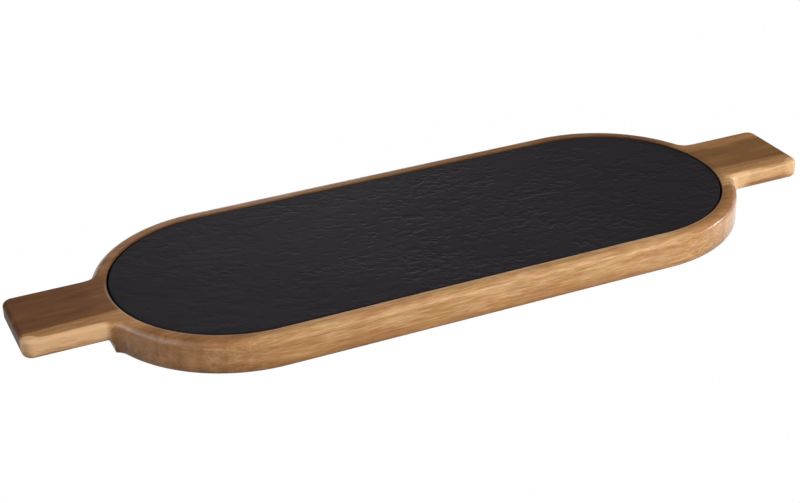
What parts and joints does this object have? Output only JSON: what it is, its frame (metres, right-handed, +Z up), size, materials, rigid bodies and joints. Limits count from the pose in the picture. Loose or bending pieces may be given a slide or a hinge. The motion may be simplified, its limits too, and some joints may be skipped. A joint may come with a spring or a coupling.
{
  "type": "serving board",
  "caption": "Oblong acacia serving board with a raised tab handle at each end and a loose riven slate plate let flush into its top.",
  "frame": {"origin": "middle of the board's flat underside", "axes": "+X along the board towards one handle, +Y across it to the back, +Z up from the underside to the slate's face"},
  "size_m": [0.455, 0.15, 0.018],
  "materials": {
    "acacia_front": "oiled, satin, pale sapwood streaks",
    "acacia_centre": "oiled, satin, dark heartwood",
    "acacia_rear": "oiled, satin, mid-brown heartwood",
    "slate": "riven, matt black",
    "pad": "matt, milky silicone"
  },
  "bodies": {
    "board": {"front_stave": "acacia_front", "centre_stave": "acacia_centre", "rear_stave": "acacia_rear", "slate_pads": "pad"},
    "slate": {"slate_plate": "slate"}
  },
  "joints": [
    {"name": "slate_lift", "type": "slide", "parent": "board", "child": "slate", "axis": [0, 0, 1], "range_m": [0, 0.04]}
  ]
}
